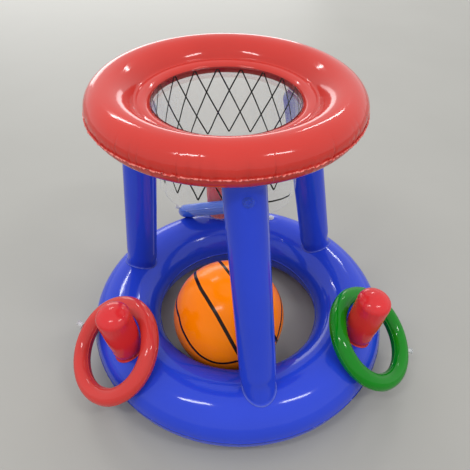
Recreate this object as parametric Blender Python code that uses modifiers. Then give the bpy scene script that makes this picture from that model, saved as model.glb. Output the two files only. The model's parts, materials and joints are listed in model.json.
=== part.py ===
"""Inflatable basketball hoop with three ring-toss pegs, for a pool or a garden.

A base ring stands on the floor. Three tubes lean inwards from it and carry a hoop with a
clear net, three pegs stand on it with a loose ring over each, and a ball lies in its middle.
Every inflated piece is a shell of thin film, welded to its neighbours at lips and filled
through a valve with its own plug. Units are metres and +Z is up. The toy is modelled round
the middle of its base, with the front leg at -90 degrees, and is moved at the end so that the
origin lies on the floor in the middle of the whole toy.
"""

import math
from dataclasses import dataclass

import bmesh
import bpy
from mathutils import Matrix, Vector
from mathutils.bvhtree import BVHTree

# Film, welds and clearances
FILM = 0.0003
NET_FILM = 0.00025
BALL_WALL = 0.0006
WELD_GAP = 0.0003
WELD_LIP = 0.0012
FOOT_LIP = 0.0025
FOOT_GAP = 0.0005
LOOSE_GAP = 0.0004
FLOOR_WIDTH = 0.016

# Base ring
BASE_RADIUS = 0.2116
BASE_HALF_WIDTH = 0.0604
BASE_HALF_HEIGHT = 0.0565

# Hoop: a tube with a smaller bead inside it, welded together in the crease between them
HOOP_SHIFT_X = -0.0210
HOOP_SHIFT_Y = 0.0038
HOOP_HEIGHT = 0.4953
HOOP_RADIUS = 0.1594
HOOP_HALF_WIDTH = 0.0302
HOOP_INNER_HALF_WIDTH = 0.0355
HOOP_INNER_POWER = 0.75
HOOP_HALF_HEIGHT = 0.0277
HOOP_SEAM_DEG = -8.8
CREASE_DEG = 163.0
CREASE_WIDTH = 0.0024
BEAD_HALF_WIDTH = 0.0094
BEAD_HALF_HEIGHT = 0.0055
NET_LENGTH = 0.130
NET_TAPER = 0.0055
NET_ABOVE_LIP = 0.0025

# Legs: where each axis meets the base and the hoop, measured inwards from the tube's middle
LEG_AZIMUTHS = {"front": -90, "right": 30, "left": 150}
LEG_FOOT_INSET = 0.0056
LEG_HEAD_INSET = 0.0178
LEG_FOOT_RADIUS = 0.0288
LEG_HEAD_RADIUS = 0.0275
FOOT_WELD_INSET = 0.0026
FOOT_WELD_LONG = 0.0295
FOOT_WELD_ACROSS = 0.0250
FOOT_TAPER = 0.033
HEAD_WELD_INSET = 0.0044
HEAD_WELD_LONG = 0.0180
HEAD_WELD_ACROSS = 0.0220
HEAD_TAPER = 0.014

# Pegs: they stand on the outer slope of the base, and swell above their welds
PEG_AZIMUTHS = {"left": -152.4, "right": -35.8, "rear": 91.5}
PEG_SLOPE_DEG = 16.5
PEG_TILT_DEG = 7.9
PEG_LENGTH = 0.0919
PEG_FOOT_RADIUS = 0.0220
PEG_RADIUS = 0.0272
PEG_SWELL = ((0.5, 1), (0.2, 0.94))
PEG_DOME = 0.0170
AIR_HOLE_RADIUS = 0.005
AIR_HOLE_DEPTH = 0.014

# Toss rings, each leaning on the base with its peg inside it
RING_RADIUS = 0.0764
RING_TUBE = 0.0144
RING_AZIMUTHS = {"left": -155.2, "right": -34.1, "rear": 91.5}
RING_TILTS = {"left": 39.3, "right": 37.7, "rear": 38.5}
RING_PLAYS = {"left": 0.0017, "right": 0.0012, "rear": 0.0017}
RING_VALVES = {"left": (-72, 40), "right": (25, 15), "rear": (100, 40)}

# Ball, lying on the floor against the inside of the base
BALL_RADIUS = 0.0995
BALL_AZIMUTH = -116.2
BALL_VALVE_DIRECTION = (0.2, 0.9, 0.35)
BALL_WAY_OUT = (0, 49)

# Valves: flange, stem and plug, pressed into the film or, on the toss rings, standing out
VALVE_FLANGE_RADIUS = 0.0075
VALVE_FLANGE = 0.0008
VALVE_STEM_RADIUS = 0.0042
VALVE_STEM = 0.0120
VALVE_BORE_RADIUS = 0.0029
RING_VALVE_FLANGE_RADIUS = 0.0055
RING_VALVE_STEM = 0.0100
PLUG_HEAD_RADIUS = 0.0050
PLUG_HEAD = 0.0014
PLUG_SHANK = 0.0080
PLUG_PLAY = 0.0003
BASE_VALVE_AZIMUTH = 62.1
BASE_VALVE_OUTSET = 0.008
LEG_VALVE_BELOW_HOOP = 0.047
HOOP_VALVE_AZIMUTH = 75

# How finely the shells are cut into facets
RING_STEPS = 36
TOSS_STEPS = 20
BALL_STEPS = 20
SECTION_STEPS = 7
SMALL_SECTION_STEPS = 4
BALL_SECTION_STEPS = 12
FOOT_SHARES = (0.5, 0.2, 0)
HEAD_SHARES = (0, 0.4)
LEG_SIDES = 16
PEG_SIDES = 14
VALVE_SIDES = 8
MERGE = 0.00001

# How closely a loose piece is tried against its support
CIRCLE_STEPS = 72
CLOSE_CUTS = 5
HALVINGS = 40

Z_AXIS = Vector((0, 0, 1))


@dataclass
class Torus:
    """An inflated ring by its centre, its radius and the half sizes of its section.

    The section is half an ellipse outside. Inside, a power over a half makes its end sharper.
    """

    centre: Vector
    radius: float
    half_width: float
    half_height: float
    inner_half_width: float
    inner_power: float = 0.5

    def away(self, x, y):
        """How far from the tube's middle the corners of the flat facet over x, y were turned."""
        v = Vector((x, y)) - self.centre.xy
        step = 2 * math.pi / RING_STEPS
        past_middle = math.atan2(v.y, v.x) % step - step / 2
        return v.length * math.cos(past_middle) / math.cos(step / 2) - self.radius

    def reach(self, away):
        """Half width of the section on the side of its middle that a distance from it lies on."""
        return self.half_width if away > 0 else self.inner_half_width

    def rise(self, x, y, clearance):
        """How far the film, and a clearance over it, lies above and below the centre at x, y."""
        away = self.away(x, y)
        share = away / (self.reach(away) + clearance)
        return (self.half_height + clearance) * self.swell(share)

    def swell(self, share):
        """Height of the section as a share of its half height, where away is a share of reach."""
        return (1 - share**2) ** (0.5 if share > 0 else self.inner_power)

    def distance(self, point):
        """Distance of a point from the film."""
        v = point - self.centre
        away = math.hypot(v.x, v.y) - self.radius
        share = math.hypot(away / self.reach(away), v.z / self.half_height)
        return math.hypot(away, v.z) * (share - 1) / share


def base_centre_height():
    """The base's section is cut flat by the floor over FLOOR_WIDTH."""
    return BASE_HALF_HEIGHT * math.sqrt(1 - (FLOOR_WIDTH / 2 / BASE_HALF_WIDTH) ** 2)


BASE_MIDDLE = Vector((0, 0, base_centre_height()))
HOOP_MIDDLE = Vector((HOOP_SHIFT_X, HOOP_SHIFT_Y, HOOP_HEIGHT))
BASE_SECTION = (BASE_HALF_WIDTH, BASE_HALF_HEIGHT, BASE_HALF_WIDTH)
HOOP_SECTION = (HOOP_HALF_WIDTH, HOOP_HALF_HEIGHT, HOOP_INNER_HALF_WIDTH, HOOP_INNER_POWER)
BASE = Torus(BASE_MIDDLE, BASE_RADIUS, *BASE_SECTION)
HOOP = Torus(HOOP_MIDDLE, HOOP_RADIUS, *HOOP_SECTION)


def clear_scene():
    for obj in list(bpy.data.objects):
        bpy.data.objects.remove(obj, do_unlink=True)


def collection(name, hidden=False):
    made = bpy.data.collections.new(name)
    made.hide_render = hidden
    bpy.context.scene.collection.children.link(made)
    return made


def material(name, colour, roughness):
    made = bpy.data.materials.new(name)
    made.use_nodes = True
    shader = made.node_tree.nodes["Principled BSDF"]
    shader.inputs["Base Color"].default_value = (*colour, 1)
    shader.inputs["Roughness"].default_value = roughness
    shader.inputs["Metallic"].default_value = 0
    return made


def add(name, mesh, frame, look, parent=None):
    """Puts a mesh into the model at a frame given in world space."""
    obj = bpy.data.objects.new(name, mesh)
    PARTS.objects.link(obj)
    if look:
        mesh.materials.append(look)
    attach(obj, frame, parent)
    return obj


def attach(obj, frame, parent):
    if parent:
        obj.parent = parent
        obj.matrix_parent_inverse = parent.matrix_world.inverted()
    obj.matrix_world = frame
    bpy.context.view_layer.update()


def axis_empty(name, frame, parent=None):
    """An empty whose Z is the axis that its children slide along."""
    empty = bpy.data.objects.new(name, None)
    PARTS.objects.link(empty)
    attach(empty, frame, parent)
    return empty


def frame_at(point, direction):
    turn = Vector(direction).to_track_quat("Z", "Y").to_matrix().to_4x4()
    return Matrix.Translation(point) @ turn


def spoke(azimuth):
    """The level directions outwards and sideways at an azimuth in degrees."""
    angle = math.radians(azimuth)
    outward = Vector((math.cos(angle), math.sin(angle), 0))
    return outward, Z_AXIS.cross(outward)


def arc(x, z, half_width, half_height, start, end, steps):
    """Points along an elliptical arc, from start to end in degrees, clockwise for an outer skin."""
    angles = [math.radians(start + (end - start) * i / steps) for i in range(steps + 1)]
    return [(x + half_width * math.cos(a), z + half_height * math.sin(a)) for a in angles]


def turned(name, profile, steps, frame, look, parent=None, closed=False):
    """A profile of (radius, height) points, from top to bottom outside, turned about Z."""
    mesh = bpy.data.meshes.new(name)
    count = len(profile)
    edges = [(i, (i + 1) % count) for i in range(count if closed else count - 1)]
    mesh.from_pydata([(radius, 0, height) for radius, height in profile], edges, [])
    obj = add(name, mesh, frame, look, parent)
    screw = obj.modifiers.new("Screw", "SCREW")
    screw.steps = screw.render_steps = steps
    screw.use_merge_vertices = True
    screw.merge_threshold = MERGE
    screw.use_smooth_shade = True
    return obj


def lofted(name, loops, frame, look, parent=None):
    """A skin through loops of points in world space, from the top loop to the bottom one."""
    mesh = bpy.data.meshes.new(name)
    shape = bmesh.new()
    inverse = frame.inverted()
    rows = [[shape.verts.new(inverse @ point) for point in loop] for loop in loops]
    for upper, lower in zip(rows, rows[1:]):
        for k in range(len(upper)):
            after = (k + 1) % len(upper)
            shape.faces.new((upper[k], lower[k], lower[after], upper[after]))
    shape.to_mesh(mesh)
    shape.free()
    mesh.shade_smooth()
    return add(name, mesh, frame, look, parent)


def as_film(obj, thickness):
    """Gives an open skin its wall, inwards from the skin."""
    solidify = obj.modifiers.new("Film", "SOLIDIFY")
    solidify.thickness = thickness
    solidify.offset = -1
    solidify.use_even_offset = True
    return obj


def pierce(obj, frame, radius, depth):
    """Cuts a hole through a film, along the Z of a frame, whose flats lie at the radius."""
    mesh = bpy.data.meshes.new(obj.name + "_hole")
    shape = bmesh.new()
    corner = radius / math.cos(math.pi / VALVE_SIDES)
    bmesh.ops.create_cone(
        shape, cap_ends=True, segments=VALVE_SIDES, radius1=corner, radius2=corner, depth=2 * depth
    )
    shape.to_mesh(mesh)
    shape.free()
    cutter = bpy.data.objects.new(obj.name + "_hole", mesh)
    CUTTERS.objects.link(cutter)
    cutter.matrix_world = frame
    cutter.hide_render = True
    cutter.display_type = "WIRE"
    cut = obj.modifiers.new("Hole", "BOOLEAN")
    cut.operation = "DIFFERENCE"
    cut.object = cutter
    bpy.context.view_layer.update()


def evaluated_mesh(obj):
    shape = bmesh.new()
    shape.from_object(obj, bpy.context.evaluated_depsgraph_get())
    shape.transform(obj.matrix_world)
    shape.normal_update()
    return shape


def facet_on(obj, start, direction):
    """A frame on the facet that a line from start meets, with Z along the facet's normal."""
    shape = evaluated_mesh(obj)
    point, normal, _, _ = BVHTree.FromBMesh(shape).ray_cast(start, direction)
    shape.free()
    return frame_at(point, normal)


def tree_and_points(obj):
    """A film's facets for distance queries, and points spread closely over them."""
    shape = evaluated_mesh(obj)
    tree = BVHTree.FromBMesh(shape)
    bmesh.ops.subdivide_edges(shape, edges=shape.edges, cuts=CLOSE_CUTS, use_grid_fill=True)
    points = [vertex.co.copy() for vertex in shape.verts]
    shape.free()
    return tree, points


def travel_until_close(loose, support, direction, gap):
    """How far a loose piece can move along a direction until a gap is left to its support."""
    loose_tree, loose_points = tree_and_points(loose)
    support_tree, support_points = tree_and_points(support)
    first = min(support_tree.find_nearest(point)[3] for point in loose_points)
    reach = 3 * first
    support_points = [point for point in support_points if loose_tree.find_nearest(point, reach)[0]]
    travel = 0
    while True:
        move = travel * direction
        nearest = min(
            min(support_tree.find_nearest(point + move)[3] for point in loose_points),
            min(loose_tree.find_nearest(point - move)[3] for point in support_points),
        )
        if nearest - gap < MERGE:
            return travel
        travel += nearest - gap


def bisect(function, low, high):
    """Where a function that rises from low to high crosses zero."""
    for _ in range(HALVINGS):
        middle = (low + high) / 2
        if function(middle) < 0:
            low = middle
        else:
            high = middle
    return low


def base_ring():
    """Two sheets welded at the outer and the inner seam, with a flat strip on the floor."""
    lift = WELD_GAP / 2 + FILM
    inner = BASE.radius - BASE.half_width
    outer = BASE.radius + BASE.half_width
    flat = math.degrees(math.acos(FLOOR_WIDTH / 2 / BASE.half_width))
    upper = arc(BASE.radius, lift, BASE.half_width, BASE.half_height - lift, 180, 0, SECTION_STEPS)
    upper = [(inner - WELD_LIP, lift)] + upper + [(outer + WELD_LIP, lift)]
    side = SECTION_STEPS // 2
    size = (BASE.radius, 0, BASE.half_width, BASE.half_height)
    lower = arc(*size, 0, -flat, side) + arc(*size, flat - 180, -180, side)
    lower[0] = (outer, -lift)
    lower[-1] = (inner, -lift)
    lower = [(outer + WELD_LIP, -lift)] + lower + [(inner - WELD_LIP, -lift)]
    frame = Matrix.Translation(BASE.centre)
    sheets = [
        as_film(turned("base_upper_sheet", upper, RING_STEPS, frame, BLUE), FILM),
        as_film(turned("base_lower_sheet", lower, RING_STEPS, frame, BLUE), FILM),
    ]
    return sheets[0]


def bead_radius():
    """The bead lies against the crease, which takes the place of the tube's inner side."""
    crease = HOOP.radius + HOOP.inner_half_width * math.cos(math.radians(CREASE_DEG))
    return crease - CREASE_WIDTH - BEAD_HALF_WIDTH * math.cos(math.radians(180 - CREASE_DEG))


def lip_radius():
    return bead_radius() - BEAD_HALF_WIDTH - WELD_LIP


def hoop_profile(side):
    """Half of the hoop's section, from the lip to the outer seam. Side is 1 above and -1 below."""
    lift = side * (WELD_GAP / 2 + FILM)
    seam_side = side * HOOP_SEAM_DEG
    bead_height = side * BEAD_HALF_HEIGHT
    tube_ends = (CREASE_DEG, seam_side)
    bead_ends = (180, 180 - CREASE_DEG)
    tube = [
        (HOOP.radius + share * HOOP.reach(share), side * HOOP.half_height * HOOP.swell(share))
        for share, _ in arc(0, 0, 1, 1, *tube_ends, SECTION_STEPS - 1)
    ]
    bead = arc(bead_radius(), 0, BEAD_HALF_WIDTH, bead_height, *bead_ends, SMALL_SECTION_STEPS)
    seam_height = HOOP.half_height * math.sin(math.radians(HOOP_SEAM_DEG)) + lift
    tube[-1] = (tube[-1][0], seam_height)
    bead[0] = (bead[0][0], lift)
    crease = tube[0][0] - CREASE_WIDTH / 2
    weld = [(crease - CREASE_WIDTH / 2, lift), (crease + CREASE_WIDTH / 2, lift)]
    lip = [(lip_radius(), lift)]
    return lip + bead + weld + tube + [(tube[-1][0] + WELD_LIP, seam_height)]


def hoop():
    """Two sheets, welded at the outer seam, in the crease and at the lip that holds the net."""
    frame = Matrix.Translation(HOOP.centre)
    upper = turned("hoop_upper_sheet", hoop_profile(1), RING_STEPS, frame, RED)
    lower = turned("hoop_lower_sheet", hoop_profile(-1)[::-1], RING_STEPS, frame, RED)
    as_film(upper, FILM)
    return as_film(lower, FILM)


def net():
    """A clear cylinder, a little narrower at its open lower end."""
    top = lip_radius() - LOOSE_GAP
    middle = (top - NET_TAPER / 2, -NET_LENGTH / 2)
    profile = [(top, NET_ABOVE_LIP), middle, (top - NET_TAPER, -NET_LENGTH)]
    frame = Matrix.Translation(HOOP.centre)
    return as_film(turned("net_film", profile, RING_STEPS, frame, CLEAR), NET_FILM)


def weld_loop(torus, middle, outward, sideways, long, across, side, sides, clearance):
    """A closed loop lying on a ring's film, above it if side is 1 and below it if side is -1."""
    loop = []
    for k in range(sides):
        angle = 2 * math.pi * k / sides
        point = middle + outward * long * math.cos(angle) + sideways * across * math.sin(angle)
        point.z = torus.centre.z + side * torus.rise(point.x, point.y, clearance)
        loop.append(point)
    return loop


def eased_loops(weld, full, shares):
    """Loops between a weld and a full section, bulging out from the weld at once."""
    loops = []
    for share in shares:
        swell = math.sin(share * math.pi / 2)
        loop = []
        for near, far in zip(weld, full):
            point = near.lerp(far, swell)
            point.z = near.lerp(far, share).z
            loop.append(point)
        loops.append(loop)
    return loops


def leg_ends(azimuth):
    """Where a leg's axis meets the base's top and the hoop's underside."""
    outward, _ = spoke(azimuth)
    foot = outward * (BASE.radius - LEG_FOOT_INSET)
    foot.z = BASE.centre.z + BASE.rise(foot.x, foot.y, 0)
    head = HOOP.centre + outward * (HOOP.radius - LEG_HEAD_INSET)
    head.z = HOOP.centre.z - HOOP.half_height
    return foot, head


def section_loop(foot, head, height, outward):
    """A round section of a leg, square to its axis, at a height above its foot."""
    axis = (head - foot).normalized()
    length = (head - foot).length
    across = axis.cross(outward).normalized()
    out = across.cross(axis)
    radius = LEG_FOOT_RADIUS + (LEG_HEAD_RADIUS - LEG_FOOT_RADIUS) * height / length
    middle = foot + axis * height
    angles = [2 * math.pi * k / LEG_SIDES for k in range(LEG_SIDES)]
    return [middle + radius * (out * math.cos(a) + across * math.sin(a)) for a in angles]


def leg(name, azimuth):
    """A slim tube whose ends narrow to long welds lying on the base and on the hoop."""
    outward, sideways = spoke(azimuth)
    foot, head = leg_ends(azimuth)
    length = (head - foot).length
    lift = FOOT_GAP + FILM
    foot_middle = outward * (BASE.radius - FOOT_WELD_INSET)
    head_middle = HOOP.centre + outward * (HOOP.radius - HEAD_WELD_INSET)

    def foot_loop(lip):
        sizes = (FOOT_WELD_LONG + lip, FOOT_WELD_ACROSS + lip)
        return weld_loop(BASE, foot_middle, outward, sideways, *sizes, 1, LEG_SIDES, lift)

    def head_loop(lip):
        sizes = (HEAD_WELD_LONG + lip, HEAD_WELD_ACROSS + lip)
        return weld_loop(HOOP, head_middle, outward, sideways, *sizes, -1, LEG_SIDES, lift)

    top = section_loop(foot, head, length - HEAD_TAPER, outward)
    bottom = section_loop(foot, head, FOOT_TAPER, outward)
    loops = [head_loop(FOOT_LIP)] + eased_loops(head_loop(0), top, HEAD_SHARES) + [top]
    loops += [bottom] + eased_loops(foot_loop(0), bottom, FOOT_SHARES) + [foot_loop(FOOT_LIP)]
    frame = frame_at(foot, head - foot)
    skin = as_film(lofted("leg_" + name, loops, frame, BLUE), FILM)
    valve_height = HOOP.centre.z - LEG_VALVE_BELOW_HOOP
    along = (valve_height - foot.z) / (head.z - foot.z)
    start = foot.lerp(head, along) + 2 * LEG_FOOT_RADIUS * outward
    seat = facet_on(skin, start, -outward)
    valve_hole(skin, seat)
    pressed_in_valve("valve_leg_" + name, seat)


def leaning(azimuth, tilt):
    """A turn whose Z leans outwards at an azimuth by a tilt, both in degrees."""
    turn = Matrix.Rotation(math.radians(azimuth), 4, "Z")
    return turn @ Matrix.Rotation(math.radians(tilt), 4, "Y")


def peg_frame(azimuth):
    """Z of the frame is the peg's axis, leaning outwards, and its origin is on the base's film."""
    outward, _ = spoke(azimuth)
    slope = math.radians(PEG_SLOPE_DEG)
    foot = outward * (BASE.radius + BASE.half_width * math.sin(slope))
    foot.z = BASE.centre.z + BASE.half_height * math.cos(slope)
    return Matrix.Translation(foot) @ leaning(azimuth, PEG_TILT_DEG)


def peg(name, azimuth, base_sheet):
    """A swelling tube with a domed cap welded on its top, filled from the base by a hole."""
    frame = peg_frame(azimuth)
    outward, sideways = spoke(azimuth)

    def level_loop(radius, height):
        angles = [2 * math.pi * k / PEG_SIDES for k in range(PEG_SIDES)]
        return [frame @ Vector((radius * math.cos(a), radius * math.sin(a), height)) for a in angles]

    def foot_loop(radius):
        place = (frame.translation, outward, sideways)
        return weld_loop(BASE, *place, radius, radius, 1, PEG_SIDES, FOOT_GAP + FILM)

    seam = PEG_LENGTH - WELD_GAP / 2 - FILM
    loops = [level_loop(PEG_RADIUS + WELD_LIP, seam), level_loop(PEG_RADIUS, seam)]
    loops += [level_loop(share * PEG_RADIUS, height * PEG_LENGTH) for height, share in PEG_SWELL]
    loops += [foot_loop(PEG_FOOT_RADIUS), foot_loop(PEG_FOOT_RADIUS + FOOT_LIP)]
    as_film(lofted(f"peg_{name}_wall", loops, frame, RED), FILM)

    start = PEG_LENGTH + WELD_GAP / 2 + FILM
    dome = arc(0, start, PEG_RADIUS, PEG_DOME, 90, 0, SMALL_SECTION_STEPS)
    dome[0] = (0, start + PEG_DOME)
    dome += [(PEG_RADIUS + WELD_LIP, start)]
    as_film(turned(f"peg_{name}_cap", dome, PEG_SIDES, frame, RED), FILM)
    pierce(base_sheet, frame, AIR_HOLE_RADIUS, AIR_HOLE_DEPTH)


def ring_circle(azimuth, tilt, out, height):
    """Points on the middle line of a toss ring, which leans down outwards by its tilt."""
    outward, sideways = spoke(azimuth)
    down = outward * math.cos(math.radians(tilt)) - Z_AXIS * math.sin(math.radians(tilt))
    middle = outward * out + Z_AXIS * height
    angles = [2 * math.pi * k / CIRCLE_STEPS for k in range(CIRCLE_STEPS)]
    return [middle + RING_RADIUS * (down * math.cos(a) + sideways * math.sin(a)) for a in angles]


def peg_distance(frame, point):
    """Distance of a point from a peg where it is widest, or a large one beyond its ends."""
    v = frame.inverted() @ point
    if not 0 < v.z < PEG_LENGTH:
        return BASE_RADIUS
    return math.hypot(v.x, v.y) - PEG_RADIUS


def ring_place(name, peg_axis):
    """How far out and how high a toss ring's centre is, from its lean, its seat and its play."""
    azimuth = RING_AZIMUTHS[name]
    tilt = RING_TILTS[name]

    def height_on_base(out):
        def room(height):
            points = ring_circle(azimuth, tilt, out, height)
            return min(BASE.distance(p) for p in points) - RING_TUBE - LOOSE_GAP

        return bisect(room, BASE.centre.z, BASE.centre.z + 2 * BASE_RADIUS)

    def tightness(out):
        points = ring_circle(azimuth, tilt, out, height_on_base(out))
        return RING_PLAYS[name] - (min(peg_distance(peg_axis, p) for p in points) - RING_TUBE)

    start = peg_axis.translation.xy.length
    out = bisect(tightness, start, start + RING_RADIUS)
    return out, height_on_base(out)


def toss_ring(name, peg_azimuth, look, base_sheet):
    """Two sheets welded edge to edge, lowered until the facets lie on those of the base."""
    peg_axis = peg_frame(peg_azimuth)
    out, height = ring_place(name, peg_axis)
    azimuth = RING_AZIMUTHS[name]
    outward, _ = spoke(azimuth)
    raised = outward * out + Z_AXIS * (height + RING_TUBE)
    frame = Matrix.Translation(raised) @ leaning(azimuth, RING_TILTS[name])
    lift = WELD_GAP / 2
    upper = arc(RING_RADIUS, lift, RING_TUBE, RING_TUBE - lift, 180, 0, SMALL_SECTION_STEPS)
    lower = [(x, -z) for x, z in reversed(upper)]
    lifter = axis_empty(f"ring_{name}_lift", peg_axis)
    top = turned(f"ring_{name}_upper_sheet", upper, TOSS_STEPS, frame, look, lifter)
    bottom = turned(f"ring_{name}_lower_sheet", lower, TOSS_STEPS, frame, look, lifter)
    as_film(top, FILM)
    as_film(bottom, FILM)
    drop = travel_until_close(bottom, base_sheet, -Z_AXIS, LOOSE_GAP)
    frame = Matrix.Translation(-Z_AXIS * drop) @ frame
    for sheet in (top, bottom):
        sheet.matrix_world = frame
    bpy.context.view_layer.update()

    round_ring, over_seam = (math.radians(angle) for angle in RING_VALVES[name])
    spin = Matrix.Rotation(round_ring, 4, "Z")
    middle = frame @ spin @ Vector((RING_RADIUS, 0, 0))
    ray = frame.to_3x3() @ spin.to_3x3() @ Vector((math.cos(over_seam), 0, math.sin(over_seam)))
    seat = facet_on(top, middle + 2 * RING_TUBE * ray, -ray)
    standing_valve(f"valve_ring_{name}", top, seat, lifter)


def plug(name, frame, seat_height, parent):
    """A plug with its head over a valve's mouth and its shank in the bore."""
    shank = VALVE_BORE_RADIUS - PLUG_PLAY
    under = seat_height + PLUG_PLAY
    over = under + PLUG_HEAD
    profile = [(0, over), (PLUG_HEAD_RADIUS, over), (PLUG_HEAD_RADIUS, under)]
    profile += [(shank, under), (shank, under - PLUG_SHANK), (0, under - PLUG_SHANK)]
    pull = axis_empty(name + "_pull", frame, parent)
    turned(name, profile, VALVE_SIDES, frame, CLEAR, pull)


def valve_hole(skin, frame):
    pierce(skin, frame, VALVE_STEM_RADIUS + WELD_GAP, VALVE_STEM / 3)


def pressed_in_valve(name, frame, parent=None):
    """The stem points into the chamber through a hole in the skin, and its flange lies on the skin."""
    low = WELD_GAP
    high = low + VALVE_FLANGE
    flange = [(VALVE_BORE_RADIUS, high), (VALVE_FLANGE_RADIUS, high), (VALVE_FLANGE_RADIUS, low)]
    stem = [(VALVE_STEM_RADIUS, low), (VALVE_STEM_RADIUS, -VALVE_STEM), (VALVE_BORE_RADIUS, -VALVE_STEM)]
    turned(name + "_stem", flange + stem, VALVE_SIDES, frame, CLEAR, parent, closed=True)
    plug(name + "_plug", frame, high, parent)


def standing_valve(name, skin, frame, parent):
    """The stem stands out from the skin, whose hole is as wide as the bore."""
    low = WELD_GAP
    foot = low + VALVE_FLANGE
    mouth = RING_VALVE_STEM
    wide = RING_VALVE_FLANGE_RADIUS
    stem = [(VALVE_BORE_RADIUS, mouth), (VALVE_STEM_RADIUS, mouth), (VALVE_STEM_RADIUS, foot)]
    flange = [(wide, foot), (wide, low), (VALVE_BORE_RADIUS, low)]
    pierce(skin, frame, VALVE_BORE_RADIUS, RING_TUBE / 4)
    turned(name + "_stem", stem + flange, VALVE_SIDES, frame, CLEAR, parent, closed=True)
    plug(name + "_plug", frame, mouth, parent)


def ball(base_sheet):
    """One moulded skin with a valve, moved along the floor until it lies against the base."""
    outward, _ = spoke(BALL_AZIMUTH)
    azimuth, rise = (math.radians(angle) for angle in BALL_WAY_OUT)
    level = Vector((math.cos(azimuth), math.sin(azimuth), 0)) * math.cos(rise)
    way_out = level + Z_AXIS * math.sin(rise)
    carrier = axis_empty("ball_way_out", frame_at(Z_AXIS * BALL_RADIUS, way_out))
    hole = math.degrees(math.asin((VALVE_STEM_RADIUS + WELD_GAP) / BALL_RADIUS))
    profile = arc(0, 0, BALL_RADIUS, BALL_RADIUS, 90 - hole, -90, BALL_SECTION_STEPS)
    profile[-1] = (0, -BALL_RADIUS)
    frame = frame_at(Z_AXIS * BALL_RADIUS, BALL_VALVE_DIRECTION)
    skin = as_film(turned("ball_skin", profile, BALL_STEPS, frame, ORANGE, carrier), BALL_WALL)
    roll = travel_until_close(skin, base_sheet, outward, LOOSE_GAP)
    carrier.matrix_world = Matrix.Translation(outward * roll) @ carrier.matrix_world
    bpy.context.view_layer.update()
    seat = skin.matrix_world @ Matrix.Translation(Z_AXIS * profile[0][1])
    pressed_in_valve("valve_ball", seat, carrier)


def centre_on_origin():
    """Moves everything level, so that the box round the whole toy stands with its middle on Z."""
    low, high = Vector((0, 0)), Vector((0, 0))
    for obj in PARTS.objects:
        if obj.type != "MESH":
            continue
        shape = evaluated_mesh(obj)
        for vertex in shape.verts:
            low = Vector(map(min, low, vertex.co.xy))
            high = Vector(map(max, high, vertex.co.xy))
        shape.free()
    shift = -(low + high).to_3d() / 2
    for obj in list(PARTS.objects) + list(CUTTERS.objects):
        if not obj.parent:
            obj.location += shift
    bpy.context.view_layer.update()


clear_scene()
PARTS = collection("Inflatable basketball hoop")
CUTTERS = collection("Cutters", hidden=True)
BLUE = material("Blue film", (0.03, 0.06, 0.55), 0.3)
RED = material("Red film", (0.70, 0.03, 0.03), 0.3)
GREEN = material("Green film", (0.01, 0.22, 0.05), 0.3)
ORANGE = material("Orange ball", (0.90, 0.25, 0.02), 0.35)
CLEAR = material("Clear film", (0.80, 0.82, 0.85), 0.15)
RING_LOOKS = {"left": RED, "right": GREEN, "rear": BLUE}

base_sheet = base_ring()
hoop_sheet = hoop()
net()
for leg_name, leg_azimuth in LEG_AZIMUTHS.items():
    leg(leg_name, leg_azimuth)
for peg_name, peg_azimuth in PEG_AZIMUTHS.items():
    toss_ring(peg_name, peg_azimuth, RING_LOOKS[peg_name], base_sheet)
ball(base_sheet)
for peg_name, peg_azimuth in PEG_AZIMUTHS.items():
    peg(peg_name, peg_azimuth, base_sheet)

valve_outward, _ = spoke(BASE_VALVE_AZIMUTH)
above_base = BASE.centre + valve_outward * (BASE.radius + BASE_VALVE_OUTSET)
above_base += Z_AXIS * 2 * BASE.half_height
valve_seat = facet_on(base_sheet, above_base, -Z_AXIS)
valve_hole(base_sheet, valve_seat)
pressed_in_valve("valve_base", valve_seat)

valve_outward, _ = spoke(HOOP_VALVE_AZIMUTH)
below_hoop = HOOP.centre + valve_outward * HOOP.radius - Z_AXIS * 2 * HOOP.half_height
valve_seat = facet_on(hoop_sheet, below_hoop, Z_AXIS)
valve_hole(hoop_sheet, valve_seat)
pressed_in_valve("valve_hoop", valve_seat)

centre_on_origin()
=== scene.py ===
import json
import math

import bmesh
import bpy
import numpy as np
from mathutils import Matrix, Vector


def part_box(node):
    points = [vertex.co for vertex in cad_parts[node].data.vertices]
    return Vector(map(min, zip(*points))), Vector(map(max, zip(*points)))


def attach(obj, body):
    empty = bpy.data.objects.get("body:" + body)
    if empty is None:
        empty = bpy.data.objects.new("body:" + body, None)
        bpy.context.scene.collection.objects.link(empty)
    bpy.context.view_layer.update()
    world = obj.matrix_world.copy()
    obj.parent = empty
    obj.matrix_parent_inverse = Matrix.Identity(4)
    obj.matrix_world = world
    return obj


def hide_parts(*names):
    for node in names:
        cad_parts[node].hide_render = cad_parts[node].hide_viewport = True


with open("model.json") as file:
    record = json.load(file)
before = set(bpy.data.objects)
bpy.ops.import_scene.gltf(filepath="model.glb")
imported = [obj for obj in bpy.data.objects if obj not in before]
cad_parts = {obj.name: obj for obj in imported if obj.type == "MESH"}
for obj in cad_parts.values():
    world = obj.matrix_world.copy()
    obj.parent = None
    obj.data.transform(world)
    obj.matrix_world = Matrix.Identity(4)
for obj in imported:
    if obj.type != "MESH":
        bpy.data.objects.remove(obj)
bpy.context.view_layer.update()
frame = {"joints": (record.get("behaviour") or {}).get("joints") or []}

# Base ring
# Two ring-shaped sheets of blue PVC film, welded at their outer and inner edges and inflated.
# The whole toy stands on it. The film is drawn in along both welds in small puckers.

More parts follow.
